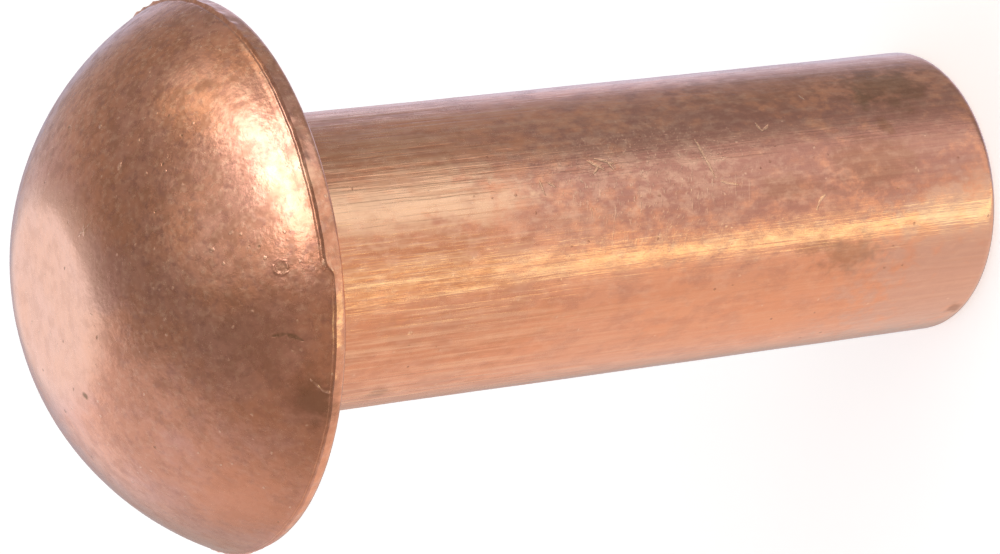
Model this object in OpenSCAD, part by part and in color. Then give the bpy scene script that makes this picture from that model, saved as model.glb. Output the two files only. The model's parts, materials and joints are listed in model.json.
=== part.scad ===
// Solid round head rivet, as supplied and not yet set.
// It stands on the cut end of its shank, with the head up. Millimetres.

/* [Shank] */
// Diameter of the shank
shank_d = 6; // [4:0.1:7.5]
// Length from the seat under the head to the cut end
shank_len = 17; // [8:0.5:40]
// Radius on the edge of the cut end
end_edge_r = 0.3; // [0.1:0.05:0.6]

/* [Head] */
// Diameter of the head
head_d = 11; // [9.8:0.1:14]
// Height of the head above its seat
head_h = 3.6; // [2.8:0.1:4.4]
// Diameter of the flat that the heading die leaves on the crown
crown_d = 3.4; // [2:0.1:4.2]
// Height of the straight band around the rim
rim_h = 0.35; // [0.2:0.05:0.6]
// Radius on the lower edge of the rim
rim_edge_r = 0.15; // [0.05:0.05:0.15]

/* [Fillet] */
// Radius of the fillet between the shank and the seat
fillet_r = 0.3; // [0.1:0.05:0.6]

/* [Hidden] */
$fn = 96;
shank_r = shank_d / 2;
head_r = head_d / 2;
crown_r = crown_d / 2;

seat_z = shank_len;
rim_top_z = seat_z + rim_h;
crown_z = seat_z + head_h;

// The dome is part of a ball through the top of the rim and the edge of the crown.
ball_z = (crown_r^2 - head_r^2 + crown_z^2 - rim_top_z^2) / (2 * (crown_z - rim_top_z));
ball_r = sqrt(head_r^2 + (rim_top_z - ball_z)^2);

// What a rounding of radius r takes off a square corner, or a fillet adds to one.
// The corner is at the origin and the arc curves around [r, r].
module spandrel(r) {
    difference() {
        square(r);
        translate([r, r]) circle(r);
    }
}

// Half section of the straight shank, with the edge of its cut end rounded.
module shank_section() {
    difference() {
        square([shank_r, seat_z]);
        translate([shank_r, 0]) mirror([1, 0]) spandrel(end_edge_r);
    }
}

// Half section of the head: a block as high and wide as the head, rounded off by the ball,
// which leaves the band of the rim below it and the flat of the crown on top.
module head_section() {
    difference() {
        intersection() {
            translate([0, seat_z]) square([head_r, head_h]);
            translate([0, ball_z]) circle(ball_r);
        }
        translate([head_r, seat_z]) mirror([1, 0]) spandrel(rim_edge_r);
    }
}

// The whole rivet is one piece, headed from the same wire as its shank.
module rivet() {
    color([0.79, 0.53, 0.42])
        rotate_extrude() {
            shank_section();
            head_section();
            translate([shank_r, seat_z]) mirror([0, 1]) spandrel(fillet_r);
        }
}

rivet();
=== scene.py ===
import json
import math

import bpy
from mathutils import Matrix, Vector, noise


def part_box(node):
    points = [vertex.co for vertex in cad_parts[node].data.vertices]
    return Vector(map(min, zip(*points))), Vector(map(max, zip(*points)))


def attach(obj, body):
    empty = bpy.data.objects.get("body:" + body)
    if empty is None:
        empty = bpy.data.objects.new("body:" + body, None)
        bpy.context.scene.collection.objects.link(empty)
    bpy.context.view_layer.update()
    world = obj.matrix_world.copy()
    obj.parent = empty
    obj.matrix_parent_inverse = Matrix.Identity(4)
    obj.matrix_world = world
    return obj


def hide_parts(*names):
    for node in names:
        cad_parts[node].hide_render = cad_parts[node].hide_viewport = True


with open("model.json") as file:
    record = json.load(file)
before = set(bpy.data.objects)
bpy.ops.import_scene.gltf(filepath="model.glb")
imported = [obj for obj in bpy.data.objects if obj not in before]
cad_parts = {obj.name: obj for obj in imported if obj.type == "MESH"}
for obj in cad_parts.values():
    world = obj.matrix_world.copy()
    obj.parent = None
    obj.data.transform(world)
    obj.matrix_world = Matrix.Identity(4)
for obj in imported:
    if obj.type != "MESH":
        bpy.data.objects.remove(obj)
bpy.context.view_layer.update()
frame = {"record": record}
bpy.ops.object.select_all(action="DESELECT")

# --- The rivet's shape -------------------------------------------------------------------------
# One piece of copper: a length of drawn wire, cut off at one end and struck in a die at the other.
# The die gave the head its dome, its flat crown and the narrow band of the rim.
mm = 0.001
mounts = {mount["name"]: mount for mount in frame["record"]["mounts"]}
low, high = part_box("rivet")
shank_r = mounts["shank"]["dims"]["r_mm"] * mm
seat_z = mounts["under_head"]["pos_m"][2]
head_r = (high[0] - low[0]) / 2
crown_z = high[2]

cut_edge_r = 0.3 * mm
fillet_r = 0.3 * mm
rim_edge_r = 0.15 * mm
rim_h = 0.35 * mm
crown_r = 1.7 * mm
steps_around = 480
hair = 0.001 * mm  # closer than this, two places are the same

# The dome is part of a ball through the top of the rim and the edge of the crown.
rim_z = seat_z + rim_h
ball_z = (crown_r**2 - head_r**2 + crown_z**2 - rim_z**2) / (2 * (crown_z - rim_z))
ball_r = math.hypot(head_r, rim_z - ball_z)
rim_angle = math.atan2(head_r, rim_z - ball_z)
crown_angle = math.atan2(crown_r, crown_z - ball_z)

# The rings of the mesh lie closest together from here down over the rim, where the flash line runs.
near_rim = rim_angle - math.radians(1.2)
rim_band = 0.08 * mm


def along(start, stop, steps):
    """Even steps after start, up to and including stop."""
    return [start + (stop - start) * i / steps for i in range(1, steps + 1)]


def bend(centre_r, centre_z, radius, start, stop, steps):
    """Points of the half section on an arc. Angles are in degrees from straight outward."""
    angles = [math.radians(degrees) for degrees in along(start, stop, steps)]
    return [(centre_r + radius * math.cos(a), centre_z + radius * math.sin(a)) for a in angles]


def dome(start, stop, steps):
    """Points of the half section on the dome. Angles are from the rivet's axis."""
    angles = along(start, stop, steps)
    return [(ball_r * math.sin(a), ball_z + ball_r * math.cos(a)) for a in angles]


section = [(0, 0)]
section += [(r, 0) for r in along(0, shank_r - cut_edge_r, 12)]
section += bend(shank_r - cut_edge_r, cut_edge_r, cut_edge_r, -90, 0, 6)
section += [(shank_r, z) for z in along(cut_edge_r, seat_z - fillet_r, 60)]
section += bend(shank_r + fillet_r, seat_z - fillet_r, fillet_r, 180, 90, 5)
section += [(r, seat_z) for r in along(shank_r + fillet_r, head_r - rim_edge_r, 8)]
section += bend(head_r - rim_edge_r, seat_z + rim_edge_r, rim_edge_r, -90, 0, 4)
section += [(head_r, z) for z in along(seat_z + rim_edge_r, rim_z - rim_band, 2)]
section += [(head_r, z) for z in along(rim_z - rim_band, rim_z, 4)]
section += dome(rim_angle, near_rim, 6)
section += dome(near_rim, crown_angle, 44)
section += [(r, crown_z) for r in along(crown_r, 0, 14)]

bpy.ops.mesh.primitive_plane_add(size=mm)
rivet = bpy.context.object
rivet.name = "copper_rivet"
bpy.ops.object.mode_set(mode="EDIT")
bpy.ops.mesh.merge(type="CENTER")
for (r0, z0), (r1, z1) in zip(section, section[1:]):
    bpy.ops.mesh.extrude_region_move(TRANSFORM_OT_translate={"value": (r1 - r0, 0, z1 - z0)})
bpy.ops.mesh.select_all(action="SELECT")
bpy.ops.mesh.spin(steps=steps_around, angle=2 * math.pi, center=(0, 0, 0), axis=(0, 0, 1))
bpy.ops.mesh.select_all(action="SELECT")
bpy.ops.mesh.remove_doubles(threshold=hair)
bpy.ops.mesh.normals_make_consistent(inside=False)
bpy.ops.object.mode_set(mode="OBJECT")

# The faces take their finish by what they are: struck head, drawn shank or cut end.
for face in rivet.data.polygons:
    r = math.hypot(face.center.x, face.center.y)
    struck = face.center.z > seat_z - 0.01 * mm and r > shank_r + 0.9 * fillet_r
    struck = struck or face.center.z > seat_z + 0.01 * mm
    face.material_index = 0 if struck else 2 if face.center.z < 0.02 * mm else 1

# --- What the dies and the wire left on it -----------------------------------------------------
# The flash line, where metal crept out between the dies, wanders around the rim and steps where
# the die halves met. Dome and crown are faintly uneven, and the wire has lengthwise ridges.
flash_high, flash_low = 0.38 * mm, 0.25 * mm
crown_soft = 0.32 * mm

# Heights, depths and widths of these small marks are in millimetres.
lip_out, lip_above, lip_below = 0.046, 0.026, 0.085
groove_deep, groove_up, groove_wide = 0.014, 0.055, 0.022
ridge_deep, dent_deep, small_dent_deep = 0.0045, 0.005, 0.002
swell_high, ripple_high, fine_ripple_high, dome_sunk = 0.014, 0.0025, 0.0010, 0.004


def smooth(x, start, stop):
    """Goes evenly from 0 at start to 1 at stop."""
    t = min(max((x - start) / (stop - start), 0), 1)
    return t * t * (3 - 2 * t)


def bump(x, middle, width):
    """A rounded ridge, 1 high at middle."""
    return math.exp(-(((x - middle) / width) ** 2))


def flash_height(out, bearing):
    """Height of the flash line above the seat."""
    on_low_side = smooth(bearing, -1.0, -3.2) * smooth(bearing, -179, -172)
    height = flash_high + (flash_low - flash_high) * on_low_side
    return height + 0.022 * mm * noise.noise(out * 5) + 0.010 * mm * noise.noise(out * 22)


def dome_angle(point):
    """Angle from the rivet's axis, seen from the middle of the dome's ball."""
    return math.atan2(math.hypot(point.x, point.y), point.z - ball_z)


for vertex in rivet.data.vertices:
    p = vertex.co
    r = math.hypot(p.x, p.y)
    if r < 0.01 * mm:
        continue
    out = Vector((p.x / r, p.y / r, 0))
    bearing = math.degrees(math.atan2(p.x, -p.y))
    if p.z < seat_z - hair:
        if p.z < hair:
            continue
        # the wire: ridges from the draw plate, deepest under the head, and shallow dents
        gripped = 0.35 + 0.65 * smooth(p.z, 8 * mm, 15 * mm)
        drift = Vector((0, 0, p.z / (6 * mm)))
        ridges = noise.noise(out * 14 + drift) + 0.6 * noise.noise(out * 34 + drift * 2)
        dents = noise.noise(p / (1.3 * mm)) * dent_deep
        dents += noise.noise(p / (0.55 * mm)) * small_dent_deep
        fade = smooth(p.z, 0, 0.4 * mm) * (1 - smooth(p.z, seat_z - fillet_r, seat_z))
        p += out * (ridges * ridge_deep * gripped + dents) * mm * fade
        continue
    if p.z < seat_z + rim_edge_r - hair:
        continue
    # slide the rim's vertices up or down so that their densest ring follows the flash line
    flash = flash_height(out, bearing)
    if p.z < rim_z - hair or r > head_r - hair:
        share = (p.z - seat_z - rim_edge_r) / (rim_h - rim_edge_r)
        p.z = seat_z + rim_edge_r + share * (flash - rim_edge_r)
    elif r > crown_r:
        low_angle = math.acos((seat_z + flash - ball_z) / ball_r)
        fixed = crown_angle + 0.5 * (rim_angle - crown_angle)
        angle = dome_angle(p)
        if angle > fixed:
            angle = fixed + (angle - fixed) * (low_angle - fixed) / (rim_angle - fixed)
        p.x, p.y = out.x * ball_r * math.sin(angle), out.y * ball_r * math.sin(angle)
        p.z = ball_z + ball_r * math.cos(angle)
    # the torn lip on the flash line, steep on the dome's side, and the groove above it
    away = (p.z - seat_z - flash) / mm
    torn = 0.35 + 0.9 * noise.noise(out * 19) + 0.7 * noise.noise(out * 47)
    torn = min(max(torn, 0.04), 1.1)
    lip = bump(away, 0.0, lip_above if away > 0 else lip_below) * lip_out * torn
    lip -= bump(away, groove_up, groove_wide) * groove_deep
    p += Vector((out.x, out.y, 0.3)).normalized() * lip * mm
    # the crown runs softly into the dome, and both are a little uneven
    edge_r = crown_r * (1 + 0.03 * noise.noise(out * 1.7) + 0.015 * noise.noise(out * 5))
    if abs(r - edge_r) < crown_soft:
        p.z -= (crown_soft - abs(r - edge_r)) ** 2 * math.tan(crown_angle) / (4 * crown_soft)
    q = p + Vector((7, 3, 1)) * mm
    uneven = swell_high * noise.noise(q / (2.9 * mm)) + ripple_high * noise.noise(q / (0.9 * mm))
    uneven += fine_ripple_high * noise.noise(q / (0.4 * mm)) - dome_sunk
    if r < head_r - 0.05 * mm:
        p += (p - Vector((0, 0, ball_z))).normalized() * uneven * mm
bpy.ops.object.shade_smooth_by_angle(angle=math.radians(50))

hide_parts("rivet")
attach(rivet, "root")

# --- Copper ------------------------------------------------------------------------------------
# Bare copper that has been handled: it is bright where the dies rubbed it, rosy or brown where it
# has tarnished, and it has small scratches from lying in a bin with others. Some of its bright
# patches are painted highlights and painted reflections, and under the head it is darkened by
# painted shade.


class Nodes:
    """Adds nodes to a tree. What a socket takes is a value or another node's output."""

    def __init__(self, tree):
        self.tree = tree

    def add(self, kind, takes, gives=0, **settings):
        node = self.tree.nodes.new("ShaderNode" + kind)
        for name, value in settings.items():
            setattr(node, name, value)
        for name, value in takes.items():
            self.give(node.inputs[name], value)
        return node.outputs[gives]

    def give(self, socket, value):
        if isinstance(value, bpy.types.NodeSocket):
            self.tree.links.new(value, socket)
        else:
            socket.default_value = value

    def plus(self, *terms):
        total = terms[0]
        for term in terms[1:]:
            total = self.add("Math", {0: total, 1: term}, operation="ADD")
        return total

    def times(self, *factors):
        total = factors[0]
        for factor in factors[1:]:
            total = self.add("Math", {0: total, 1: factor}, operation="MULTIPLY")
        return total

    def over(self, a, b):
        return self.add("Math", {0: a, 1: b}, operation="DIVIDE")

    def vector(self, operation, a, b, gives=0):
        return self.add("VectorMath", {0: a, 1: b}, gives, operation=operation)

    def scaled(self, vector, by):
        return self.add("VectorMath", {0: vector, "Scale": by}, operation="SCALE")

    def length(self, vector):
        return self.add("VectorMath", {0: vector}, "Value", operation="LENGTH")

    def how_far(self, place, axis):
        """How far the place lies along this axis of the rivet."""
        return self.vector("DOT_PRODUCT", place, axis, "Value")

    def ramp(self, value, start, stop, low=0.0, high=1.0):
        takes = {"Value": value, "From Min": start, "From Max": stop, "To Min": low, "To Max": high}
        return self.add("MapRange", takes, interpolation_type="SMOOTHSTEP")

    def noise(self, place, size, detail, roughness=0.6):
        takes = {"Vector": place, "Scale": self.over(1.0, size), "Detail": detail}
        return self.add("TexNoise", takes | {"Roughness": roughness})

    def blend(self, share, a, b):
        node = self.tree.nodes.new("ShaderNodeMix")
        node.data_type = "RGBA"
        for index, value in ((0, share), (6, a), (7, b)):
            self.give(node.inputs[index], value)
        return node.outputs[2]

    def squeeze(self, place, stretch):
        """The place with its height divided by stretch, which draws noise out along the axis."""
        node = self.tree.nodes.new("ShaderNodeSeparateXYZ")
        self.give(node.inputs[0], place)
        x, y, z = (node.outputs[axis] for axis in "XYZ")
        return self.add("CombineXYZ", {"X": x, "Y": y, "Z": self.over(z, stretch)})

    def stray(self, place, size, reach):
        """The place pushed about by noise of this size, which makes straight edges ragged."""
        wavy = self.tree.nodes.new("ShaderNodeTexNoise")
        self.give(wavy.inputs["Vector"], place)
        self.give(wavy.inputs["Scale"], 1 / size)
        wander = self.vector("SUBTRACT", wavy.outputs["Color"], (0.5, 0.5, 0.5))
        return self.vector("ADD", place, self.scaled(wander, reach))

    def use(self, group, **takes):
        node = self.tree.nodes.new("ShaderNodeGroup")
        node.node_tree = group
        for name, value in takes.items():
            self.give(node.inputs[name], value)
        return node.outputs[0]


def new_group(name, gives, **takes):
    """An empty node group. Its sockets are named after what it takes, with their first values."""
    tree = bpy.data.node_groups.new(name, "ShaderNodeTree")
    for label, value in takes.items():
        kind = "NodeSocketFloat" if isinstance(value, float) else "NodeSocketVector"
        socket = tree.interface.new_socket(label, in_out="INPUT", socket_type=kind)
        socket.default_value = value
    tree.interface.new_socket(gives, in_out="OUTPUT", socket_type="NodeSocketFloat")
    given, result = tree.nodes.new("NodeGroupInput"), tree.nodes.new("NodeGroupOutput")
    return tree, Nodes(tree), given.outputs, result.inputs[gives]


nowhere = (0.0, 0.0, 0.0)

# clouds: patches of one size, kept where the noise lies above From
clouds, n, given, result = new_group("clouds", "Mask", Place=nowhere, Size=mm, From=0.4, To=0.6)
cloud = n.noise(given["Place"], given["Size"], 4.0)
n.give(result, n.ramp(cloud, given["From"], given["To"]))

# drawn: lines along the wire, as noise stretched along the axis
drawn, n, given, result = new_group(
    "drawn", "Mask", Place=nowhere, Pitch=mm, Stretch=30.0, From=0.4, To=0.6
)
lines = n.noise(n.squeeze(given["Place"], given["Stretch"]), given["Pitch"], 3.0, 0.65)
n.give(result, n.ramp(lines, given["From"], given["To"]))

# scratch: one scratch between two points, thin at its ends
scratch, n, given, result = new_group(
    "scratch", "Mask", Place=nowhere, Start=nowhere, End=nowhere, Width=0.03 * mm
)
run = n.vector("SUBTRACT", given["End"], given["Start"])
reach = n.vector("SUBTRACT", given["Place"], given["Start"])
ahead = n.vector("DOT_PRODUCT", reach, run, "Value")
whole = n.vector("DOT_PRODUCT", run, run, "Value")
share = n.add("Math", {0: ahead, 1: whole}, operation="DIVIDE", use_clamp=True)
off = n.length(n.vector("SUBTRACT", reach, n.scaled(run, share)))
thin = n.times(n.ramp(share, -0.1, 0.35, 0.35, 1.0), n.ramp(share, 0.5, 1.05, 1.0, 0.35))
n.give(result, n.ramp(n.over(off, n.times(given["Width"], thin)), 0.2, 1.0, 1.0, 0.0))

# spot: a patch around one point, drawn out along the axis by Stretch, ragged where Ragged varies
spot, n, given, result = new_group(
    "spot", "Mask", Place=nowhere, Centre=nowhere, Reach=mm, Stretch=1.0, Ragged=0.0
)
gap = n.squeeze(n.vector("SUBTRACT", given["Place"], given["Centre"]), given["Stretch"])
off = n.over(n.length(gap), given["Reach"])
n.give(result, n.ramp(n.plus(off, given["Ragged"]), 0.3, 1.0, 1.0, 0.0))

# ring: a small round dent with a raised edge, worn away on one side
ring, n, given, result = new_group(
    "ring", "Height", Place=nowhere, Centre=nowhere, Radius=0.15 * mm
)
gap = n.vector("SUBTRACT", given["Place"], given["Centre"])
off = n.over(n.length(gap), given["Radius"])
worn = n.ramp(n.noise(given["Place"], 0.16 * mm, 2.0), 0.38, 0.6)
rise = n.times(n.ramp(off, 0.6, 1.0), n.ramp(off, 1.0, 1.5, 1.0, 0.0), worn)
n.give(result, n.plus(rise, n.ramp(off, 0.5, 1.0, -0.35, 0.0)))

# specks: scattered dots, one in each cell of this size, of which Share are kept
specks, n, given, result = new_group(
    "specks", "Mask", Place=nowhere, Cell=0.3 * mm, Share=0.5, Dot=0.15
)
cell = n.tree.nodes.new("ShaderNodeTexVoronoi")
n.give(cell.inputs["Vector"], n.stray(given["Place"], 0.07 * mm, 0.09 * mm))
n.give(cell.inputs["Scale"], n.over(1.0, given["Cell"]))
draw = n.add("SeparateColor", {0: cell.outputs["Color"]})
dot = n.ramp(n.over(cell.outputs["Distance"], given["Dot"]), 0.4, 1.0, 1.0, 0.0)
n.give(result, n.times(dot, n.add("Math", {0: draw, 1: given["Share"]}, operation="LESS_THAN")))

# hairlines: short fine scratches, all roughly along one direction
takes = {"Turn": nowhere, "Width": 0.05 * mm, "Length": 12.0, "From": 0.62, "To": 0.72}
hairlines, n, given, result = new_group("hairlines", "Mask", Place=nowhere, **takes)
takes = {"Vector": given["Place"], "Rotation": given["Turn"]}
turned = n.add("VectorRotate", takes, rotation_type="EULER_XYZ")
threads = n.noise(n.squeeze(turned, given["Length"]), given["Width"], 2.0, 0.5)
n.give(result, n.ramp(threads, given["From"], given["To"]))


def at(bearing, height):
    """The point on the rivet's side or dome at this bearing in degrees and this height in mm."""
    z = height * mm
    r = shank_r if z < seat_z else math.sqrt(ball_r**2 - (z - ball_z) ** 2)
    a = math.radians(bearing)
    return (r * math.sin(a), -r * math.cos(a), z)


def linear(red, green, blue):
    return (red, green, blue, 1.0)


clean_and_painted_reflection = linear(0.96, 0.60, 0.42)
burnished_and_painted_highlight = linear(1.0, 0.62, 0.40)
bare = linear(0.82, 0.385, 0.24)
rosy = linear(0.80, 0.41, 0.30)
orange = linear(0.85, 0.37, 0.21)
rust_and_painted_shade = linear(0.60, 0.25, 0.135)
brown = linear(0.42, 0.19, 0.115)
mauve = linear(0.50, 0.236, 0.182)
dull_rose = linear(0.71, 0.405, 0.305)
olive = linear(0.28, 0.165, 0.09)


def new_copper(name, finish):
    material = bpy.data.materials.new(name)
    material.use_nodes = True
    n = Nodes(material.node_tree)
    shader = material.node_tree.nodes["Principled BSDF"]
    shader.inputs["Metallic"].default_value = 1.0
    shader.inputs["Coat Weight"].default_value = 0.06
    shader.inputs["Coat Roughness"].default_value = 0.25
    place = material.node_tree.nodes.new("ShaderNodeTexCoord").outputs["Object"]
    color, roughness, height = finish(n, place)
    n.give(shader.inputs["Base Color"], color)
    n.give(shader.inputs["Roughness"], roughness)
    takes = {"Height": height, "Strength": 1.0, "Distance": 0.01 * mm}
    n.give(shader.inputs["Normal"], n.add("Bump", takes))
    rivet.data.materials.append(material)


def marked(n, place, marks):
    """One mask for many scratches, given as (start, end, width in mm), with ragged sides."""
    place_near = n.stray(place, 0.22 * mm, 0.11 * mm)
    total = None
    for start, end, width in marks:
        mark = n.use(scratch, Place=place_near, Start=at(*start), End=at(*end), Width=width * mm)
        total = mark if total is None else n.add("Math", {0: total, 1: mark}, operation="MAXIMUM")
    return n.times(total, n.ramp(n.noise(place, 0.06 * mm, 2.0), 0.3, 0.6, 0.45, 1.0))


def stained_and_painted(n, place, color, stains):
    """The colour with stains on it, and a few painted highlights, painted reflections and painted
    shade, given as (bearing, height, reach, stretch, tone, share).
    """
    ragged = n.times(n.plus(n.noise(n.squeeze(place, 1.4), 0.3 * mm, 4.0), -0.5), 2.0)
    for bearing, height, reach, stretch, tone, share in stains:
        takes = {"Place": place, "Centre": at(bearing, height), "Reach": reach * mm}
        mask = n.use(spot, Stretch=stretch, Ragged=ragged, **takes)
        color = n.blend(n.times(mask, share), color, tone)
    return color


# A second draw from the same noise is taken this far away, so that two patterns never match.
far_off = (0.1, 0.0, 0.0)


def head_finish(n, place):
    elsewhere = n.vector("ADD", place, far_off)
    height_of = n.how_far(place, (0, 0, 1))
    wide = n.use(clouds, Place=place, Size=1.6 * mm, From=0.40, To=0.62)
    mottle = n.use(clouds, Place=place, Size=0.36 * mm, From=0.42, To=0.66)
    grain = n.use(clouds, Place=place, Size=0.13 * mm, From=0.46, To=0.70)
    dark_grain = n.use(clouds, Place=elsewhere, Size=0.18 * mm, From=0.50, To=0.68)
    rougher = n.ramp(n.how_far(place, (1, 0, 0)), -4 * mm, 0.5 * mm, 0.45, 1.0)
    rougher = n.times(rougher, n.ramp(height_of, 19.9 * mm, 20.5 * mm, 1.0, 0.5))
    light_specks = n.use(specks, Place=place, Cell=0.28 * mm, Share=0.55, Dot=0.14)
    dark_specks = n.use(specks, Place=elsewhere, Cell=0.45 * mm, Share=0.3, Dot=0.10)
    # the metal flowed from the crown out to the rim, and left faint lines that way
    level = n.vector("MULTIPLY", place, (1.0, 1.0, 0.15))
    level = n.add("VectorMath", {0: level}, operation="NORMALIZE")
    flow = n.ramp(n.noise(n.scaled(level, head_r), 0.16 * mm, 3.0), 0.35, 0.65)
    color = n.blend(wide, bare, rosy)
    color = n.blend(n.times(mottle, rougher, 0.55), color, brown)
    color = n.blend(n.times(flow, 0.10), color, brown)
    color = n.blend(n.times(grain, rougher, 0.47), color, clean_and_painted_reflection)
    color = n.blend(n.times(dark_grain, rougher, 0.58), color, mauve)
    # the crown is paler, clean copper: partly its own cleaner metal, partly a painted reflection of the
    # bright sheet above it
    color = n.blend(n.times(n.ramp(height_of, 20.3 * mm, 20.6 * mm), 0.50), color, clean_and_painted_reflection)
    color = stained_and_painted(n, place, color, (
        (-29.0, 17.60, 0.85, 0.8, brown, 0.55),
        (-29.0, 17.50, 0.55, 0.8, olive, 0.34),
        (-14.0, 18.5, 1.4, 0.8, brown, 0.35),
        (-62.0, 18.2, 1.4, 1.0, orange, 0.6),
        (-69.4, 20.45, 0.10, 1.0, olive, 0.9),
        (46.4, 18.35, 0.22, 1.0, brown, 0.6),
        (-0.6, 18.12, 0.16, 1.0, olive, 0.35),
        # painted highlight: pale copper by the flash line, where the lamp's highlight lies
        (17.5, 17.80, 0.80, 0.8, burnished_and_painted_highlight, 0.55),
    ))
    color = n.blend(n.times(light_specks, 0.75), color, clean_and_painted_reflection)
    color = n.blend(n.times(dark_specks, 0.6), color, olive)
    marks = marked(n, place, (
        ((-15.4, 18.30), (-14.7, 18.08), 0.07),
        ((-14.7, 18.08), (-16.3, 17.83), 0.07),
    ))
    burr = marked(n, place, (
        ((-24.5, 17.66), (-26.5, 17.5), 0.04),
        ((-26.5, 17.5), (-27.5, 17.3), 0.04),
        ((-0.2, 17.43), (-1.6, 17.39), 0.05),
        ((29.9, 20.50), (36.0, 20.46), 0.04),
        ((33.0, 20.55), (33.0, 20.42), 0.04),
        ((42.4, 19.92), (44.0, 19.86), 0.06),
        ((63.1, 19.8), (64.0, 19.76), 0.06),
        ((5.5, 19.11), (6.5, 19.07), 0.06),
        ((8.4, 18.81), (9.2, 18.77), 0.05),
    ))
    color = n.blend(n.times(marks, 0.75), color, olive)
    color = n.blend(n.times(burr, 0.8), color, clean_and_painted_reflection)
    roughness = n.plus(0.21, n.times(mottle, 0.10), n.times(grain, 0.05))
    dents = n.noise(place, 0.34 * mm, 2.0)
    pits = n.noise(place, 0.11 * mm, 2.0)
    dent = n.use(ring, Place=place, Centre=at(-0.6, 18.12), Radius=0.13 * mm)
    height = n.plus(
        n.times(dents, 0.55), n.times(pits, 0.50), n.times(flow, 0.06), n.times(dent, 0.7),
        n.times(marks, -0.5), n.times(burr, 0.8),
        n.times(light_specks, 0.35), n.times(dark_specks, -0.5),
    )
    return color, roughness, height


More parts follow.
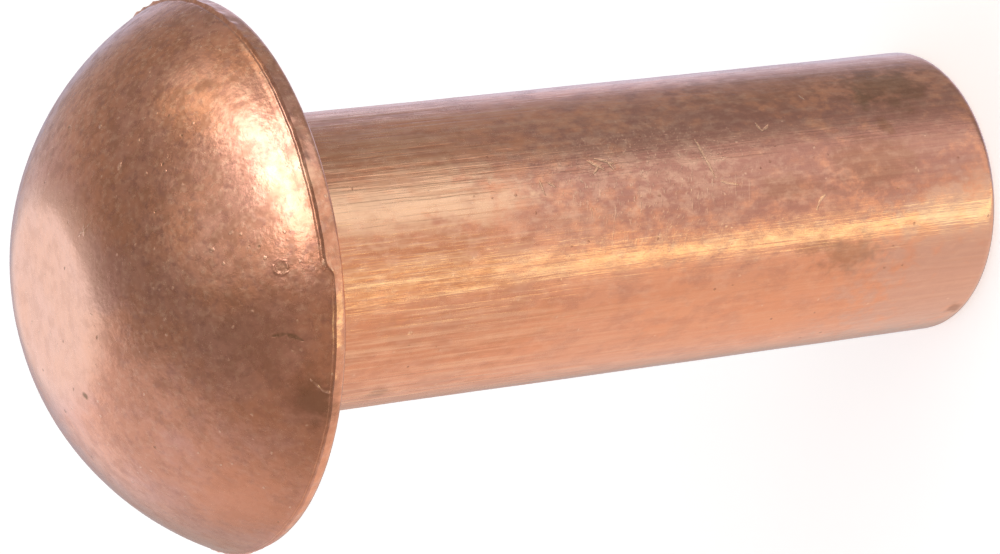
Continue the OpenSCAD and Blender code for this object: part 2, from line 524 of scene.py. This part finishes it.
def shank_finish(n, place):
    elsewhere = n.vector("ADD", place, far_off)
    height_of = n.how_far(place, (0, 0, 1))
    gripped = n.ramp(height_of, 8 * mm, 14.5 * mm)
    drawn_out = n.squeeze(place, 1.8)
    wide = n.use(clouds, Place=drawn_out, Size=1.2 * mm, From=0.40, To=0.62)
    mottle = n.use(clouds, Place=drawn_out, Size=0.38 * mm, From=0.42, To=0.66)
    grain = n.use(clouds, Place=drawn_out, Size=0.17 * mm, From=0.46, To=0.70)
    rougher = n.ramp(n.how_far(place, (1, 0, 0)), -2.5 * mm, 0, 0.50, 1.0)
    rougher = n.times(rougher, n.ramp(height_of, 0, 7 * mm, 0.55, 1.1))
    light_specks = n.use(specks, Place=place, Cell=0.34 * mm, Share=0.35, Dot=0.12)
    dark_specks = n.use(specks, Place=elsewhere, Cell=0.40 * mm, Share=0.35, Dot=0.10)
    bright_lines = n.use(drawn, Place=place, Pitch=0.12 * mm, Stretch=26.0, From=0.44, To=0.64)
    dark_lines = n.use(drawn, Place=elsewhere, Pitch=0.085 * mm, Stretch=34.0, From=0.50, To=0.68)
    fine_lines = n.use(drawn, Place=place, Pitch=0.05 * mm, Stretch=50.0, From=0.3, To=0.7)
    line_depth = n.plus(0.22, n.times(gripped, 0.78))
    color = n.blend(n.times(wide, 0.65), bare, orange)
    color = n.blend(n.times(mottle, rougher, 0.48), color, mauve)
    color = stained_and_painted(n, place, color, (
        (21.0, 6.8, 2.3, 2.8, mauve, 0.92),
        (24.0, 1.8, 2.2, 1.3, mauve, 0.92),
        (6.0, 2.0, 1.3, 1.8, mauve, 0.35),
        (53.0, 5.0, 1.0, 2.5, brown, 0.25),
        (-30.0, 13.5, 1.7, 2.0, rust_and_painted_shade, 0.36),
        (-1.0, 14.2, 1.2, 2.4, rust_and_painted_shade, 0.52),
        (38.0, 14.5, 0.95, 3.2, rust_and_painted_shade, 0.60),
        # painted reflection: a pale band of copper just under the head, on the side towards the lamp
        (19.0, 14.4, 0.95, 3.2, burnished_and_painted_highlight, 0.95),
        (21.0, 16.0, 0.65, 2.0, burnished_and_painted_highlight, 0.8),
        (15.0, 12.6, 0.55, 2.6, burnished_and_painted_highlight, 0.6),
        # an orange patch just under the head, darkened there with painted shade
        (-15.0, 15.2, 1.1, 1.6, orange, 0.9),
        (-15.0, 15.6, 0.55, 1.4, rust_and_painted_shade, 0.35),
        (-4.0, 14.4, 0.95, 2.8, rust_and_painted_shade, 0.50),
        (30.0, 14.5, 0.60, 3.2, orange, 0.50),
        # painted highlight: pale copper by the cut end, where the bright line along the wire widens
        (-6.0, 1.3, 0.50, 2.2, burnished_and_painted_highlight, 0.6),
        (-10.0, 0.5, 0.95, 0.6, burnished_and_painted_highlight, 0.5),
        (-45.0, 1.2, 2.9, 1.1, dull_rose, 0.85),
        (76.0, 1.0, 1.7, 4.5, brown, 0.38),
        (70.0, 3.2, 1.5, 3.0, rust_and_painted_shade, 0.35),
        (-48.0, 5.5, 0.8, 1.4, orange, 0.7),
        (48.0, 1.9, 1.00, 1.4, brown, 0.55),
        (48.0, 1.9, 0.75, 1.4, olive, 0.35),
        (42.0, 2.7, 0.30, 1.2, olive, 0.5),
        (27.0, 2.45, 0.26, 1.1, brown, 0.75),
        (12.0, 3.0, 0.75, 2.0, brown, 0.6),
        (6.0, 5.2, 0.35, 3.0, brown, 0.5),
        (-23.0, 3.85, 0.60, 1.8, brown, 0.35),
        (-23.0, 3.85, 0.45, 1.8, olive, 0.25),
        (-18.0, 4.7, 0.25, 2.5, brown, 0.5),
        (-65.0, 14.4, 0.26, 1.2, brown, 0.8),
        (-60.0, 0.5, 0.25, 1.0, brown, 0.8),
    ))
    # beside the head one pale place is kept free of the painted shade and of most dark lines: a painted
    # reflection
    painted_reflection_spot = n.use(spot, Place=place, Centre=at(17.5, 14.9), Reach=1.1 * mm, Stretch=1.7)
    outside_painted_reflection = n.plus(1.0, n.times(painted_reflection_spot, -0.85))
    # painted shade: the wire darkened just under the head, less so in the painted reflection spot
    color = n.blend(n.times(n.ramp(height_of, 13.5 * mm, 16.5 * mm), outside_painted_reflection, 0.30), color, rust_and_painted_shade)
    color = n.blend(n.times(bright_lines, line_depth, 0.45), color, burnished_and_painted_highlight)
    color = n.blend(n.times(dark_lines, line_depth, outside_painted_reflection, 0.55), color, rust_and_painted_shade)
    color = n.blend(n.times(grain, rougher, 0.26), color, clean_and_painted_reflection)
    # where it rubbed against others it is scuffed, with short scratches around the wire
    rubbed = n.use(spot, Place=place, Centre=at(17.0, 8.6), Reach=1.9 * mm, Stretch=2.0)
    scuffs = n.use(clouds, Place=n.squeeze(elsewhere, 1.3), Size=0.26 * mm, From=0.48, To=0.62)
    color = n.blend(n.times(scuffs, rubbed, 0.30), color, clean_and_painted_reflection)
    takes = {"Turn": (0.15, 1.35, 0.0), "Width": 0.055 * mm, "Length": 9.0, "From": 0.60, "To": 0.70}
    hairs = n.use(hairlines, Place=place, **takes)
    takes = {"Turn": (0.4, 0.9, 0.0), "Width": 0.045 * mm, "Length": 9.0, "From": 0.62, "To": 0.72}
    cross = n.use(hairlines, Place=elsewhere, **takes)
    hairs = n.times(n.plus(hairs, cross), n.plus(0.12, n.times(rubbed, 0.8)))
    color = n.blend(n.times(hairs, 0.45), color, clean_and_painted_reflection)
    color = n.blend(n.times(light_specks, 0.5), color, clean_and_painted_reflection)
    color = n.blend(n.times(dark_specks, 0.6), color, brown)
    marks = marked(n, place, (
        ((30.9, 7.12), (12.7, 6.96), 0.06),
        ((12.7, 6.96), (9.7, 6.44), 0.035),
        ((26.5, 9.79), (20.9, 9.41), 0.055),
        ((24.5, 9.50), (20.5, 9.75), 0.045),
        ((27.0, 9.60), (24.0, 9.20), 0.045),
        ((26.0, 9.35), (21.5, 9.25), 0.04),
        ((23.8, 11.05), (13.0, 10.96), 0.035),
        ((19.8, 10.90), (16.0, 10.60), 0.035),
        ((35.5, 5.53), (31.3, 5.46), 0.045),
        ((31.3, 5.46), (34.2, 5.22), 0.045),
        ((48.2, 4.09), (44.8, 4.02), 0.045),
        ((2.2, 4.43), (-3.7, 4.65), 0.045),
        ((-33.0, 14.25), (-32.0, 14.15), 0.05),
    ))
    color = n.blend(n.times(marks, 0.8), color, burnished_and_painted_highlight)
    roughness = n.plus(0.18, n.times(mottle, 0.08), n.times(gripped, 0.07), n.times(marks, 0.12))
    dents = n.noise(drawn_out, 0.34 * mm, 2.0)
    pits = n.noise(drawn_out, 0.10 * mm, 3.0)
    height = n.plus(
        n.times(dents, 0.35), n.times(pits, 0.24), n.times(fine_lines, 0.09), n.times(hairs, -0.3),
        n.times(bright_lines, line_depth, 0.38), n.times(dark_lines, line_depth, -0.32),
        n.times(marks, -0.7), n.times(light_specks, 0.25), n.times(dark_specks, -0.4),
    )
    return color, roughness, height


def cut_finish(n, place):
    # a sheared face: smeared half way across, torn and grainy beyond
    grain = n.use(clouds, Place=place, Size=0.12 * mm, From=0.3, To=0.75)
    smear = n.noise(n.vector("MULTIPLY", place, (0.12, 1.0, 1.0)), 0.12 * mm, 3.0)
    color = n.blend(n.ramp(smear, 0.35, 0.65), bare, rosy)
    color = n.blend(n.times(grain, 0.3), color, mauve)
    roughness = n.plus(0.32, n.times(grain, 0.15))
    return color, roughness, n.plus(n.times(grain, 0.5), n.times(smear, 1.5))


new_copper("struck_copper", head_finish)
new_copper("drawn_copper", shank_finish)
new_copper("cut_copper", cut_finish)

# --- The table ---------------------------------------------------------------------------------
# A pale table top, far wider than the view. Only its matt shade is used: the copper reflects the
# light tent instead. From below it is clear, so that the underside of the head can be seen.
bpy.ops.mesh.primitive_plane_add(size=1.2)
table = bpy.context.object
table.name = "table"
table.visible_glossy = False
paper = bpy.data.materials.new("white_paper")
paper.use_nodes = True
n = Nodes(paper.node_tree)
shader = paper.node_tree.nodes["Principled BSDF"]
shader.inputs["Base Color"].default_value = (0.8, 0.8, 0.8, 1)
shader.inputs["Roughness"].default_value = 0.9
shader.inputs["Emission Color"].default_value = (1, 1, 1, 1)
by_camera = paper.node_tree.nodes.new("ShaderNodeLightPath").outputs["Is Camera Ray"]
n.give(shader.inputs["Emission Strength"], n.times(by_camera, 0.57))
underside = paper.node_tree.nodes.new("ShaderNodeNewGeometry").outputs["Backfacing"]
clear = n.add("BsdfTransparent", {})
surface = n.add("MixShader", {0: n.times(by_camera, underside), 1: shader.outputs[0], 2: clear})
n.give(paper.node_tree.nodes["Material Output"].inputs["Surface"], surface)
table.data.materials.append(paper)

# --- Light -------------------------------------------------------------------------------------
# A light tent: a white sheet behind and to the left, a long soft lamp in front on the right, a dim
# room above, and a pale table top with a shaded side on the right. It is painted on the world, with
# rise as the height of a ray: -1 straight down, 0 level and 1 straight up.
world = bpy.data.worlds.new("light_tent")
bpy.context.scene.world = world
world.use_nodes = True
world.cycles.sampling_method = "NONE"
world.node_tree.nodes.clear()
n = Nodes(world.node_tree)


def toward(bearing, rise):
    """The direction at this bearing and this many degrees above level."""
    a, e = math.radians(bearing), math.radians(rise)
    return Vector((math.sin(a) * math.cos(e), -math.cos(a) * math.cos(e), math.sin(e)))


def cosine(degrees):
    return math.cos(math.radians(degrees))


ray = n.add("TexCoord", {}, "Generated")
level = n.add("VectorMath", {0: n.vector("MULTIPLY", ray, (1, 1, 0))}, operation="NORMALIZE")
rise = n.vector("DOT_PRODUCT", ray, (0, 0, 1), "Value")


def side(bearing, inner, outer):
    """1 within inner degrees of this bearing, 0 beyond outer."""
    near = n.vector("DOT_PRODUCT", level, toward(bearing, 0), "Value")
    return n.ramp(near, cosine(outer), cosine(inner))


def lamp(bearing, up, inner, outer):
    """1 within inner degrees of the direction at this bearing and height in degrees, 0 beyond outer."""
    near = n.vector("DOT_PRODUCT", ray, toward(bearing, up), "Value")
    return n.ramp(near, cosine(outer), cosine(inner))


# the room, and the table top below it with its shaded sides
room = n.plus(n.ramp(rise, -0.42, 0.0, 0.88, 0.36), n.ramp(rise, 0.6, 0.97, 0.0, -0.07))
below = n.ramp(rise, 0.05, -0.25)
dark = n.add("Math", {0: side(84, 24, 40), 1: side(100, 24, 46)}, operation="MAXIMUM")
shade = n.plus(
    n.times(dark, 0.52), n.times(side(-170, 8, 32), 0.38), n.times(side(-56, 3, 22), 0.08)
)
room = n.times(room, n.plus(1.0, n.times(below, shade, -1.0)))
# the wall and the table on the left are warm, and the table behind on the right is cool
warm = n.plus(
    n.times(side(-55, 35, 100), n.ramp(rise, 1.0, 0.5), n.ramp(rise, -0.25, 0.05)),
    n.times(side(-70, 45, 115), below, 0.55),
)
room_tint = n.blend(below, (1.06, 0.95, 0.87, 1), (1.0, 1.0, 1.0, 1))
room_tint = n.blend(warm, room_tint, (1.12, 0.93, 0.80, 1))
room_tint = n.blend(n.times(side(153, 15, 45), below), room_tint, (0.96, 1.03, 1.32, 1))
# the sheet, behind and to the left
above = n.ramp(rise, -0.35, 0.28)
left = n.times(side(-150, 5, 80), n.ramp(rise, 1.0, 0.8), above, 0.375)
tilted = n.vector("DOT_PRODUCT", ray, (1.5, 0, 1), "Value")
sheet = n.times(side(-172, 15, 29), n.ramp(tilted, 0.86, 0.60), above, 0.35)
# the lamp in front, its amber side, the glow around it and two faint ones lower down
window = n.times(side(40, 13, 45), n.ramp(rise, 0.34, 0.46), n.ramp(rise, 0.64, 0.52), 3.0)
amber = n.times(side(80, 10, 34), n.ramp(rise, 0.24, 0.42), n.ramp(rise, 0.68, 0.52), 0.75)
glow = n.plus(
    n.times(lamp(34, 47, 5, 38), 0.42),
    n.times(lamp(92, 8, 5, 30), 0.12),
    n.times(lamp(42, -32, 5, 26), 0.15),
)
# a narrow gold streak on the table, which draws the bright line along the wire
gold = n.times(side(-25, 1, 6), below, 1.2)
light = n.scaled(room_tint, room)
for color, strength in (
    ((0.95, 1.04, 1.29), left),
    ((0.92, 1.03, 1.20), sheet),
    ((1.0, 1.0, 1.04), window),
    ((1.05, 1.0, 0.80), amber),
    ((1.0, 0.97, 0.90), glow),
    ((0.90, 1.24, 0.68), gold),
):
    light = n.vector("ADD", light, n.scaled(color, strength))

by_camera = world.node_tree.nodes.new("ShaderNodeLightPath").outputs["Is Camera Ray"]
tent = n.add("Background", {"Color": light, "Strength": 1.0})
white = n.add("Background", {"Color": (1, 1, 1, 1), "Strength": 1.0})
output = world.node_tree.nodes.new("ShaderNodeOutputWorld")
n.give(output.inputs["Surface"], n.add("MixShader", {0: by_camera, 1: tent, 2: white}))

# --- Camera ------------------------------------------------------------------------------------
# A long lens close to the rivet, looking down on it from the head's side and turned on its side.
aim = Vector((-0.75, 0, 10.58)) * mm
distance, look_down, roll = 90.3 * mm, 29.76, -97.17
camera = bpy.data.objects.new("camera", bpy.data.cameras.new("camera"))
bpy.context.collection.objects.link(camera)
camera.data.sensor_width = 36
camera.data.lens = 158.8
camera.data.clip_start = 5 * mm
tilt = Matrix.Rotation(math.radians(90 - look_down), 4, "X")
turn = tilt @ Matrix.Rotation(math.radians(roll), 4, "Z")
camera.matrix_world = Matrix.Translation(aim + toward(0, look_down) * distance) @ turn
bpy.context.scene.camera = camera
bpy.context.scene.view_settings.view_transform = "Standard"
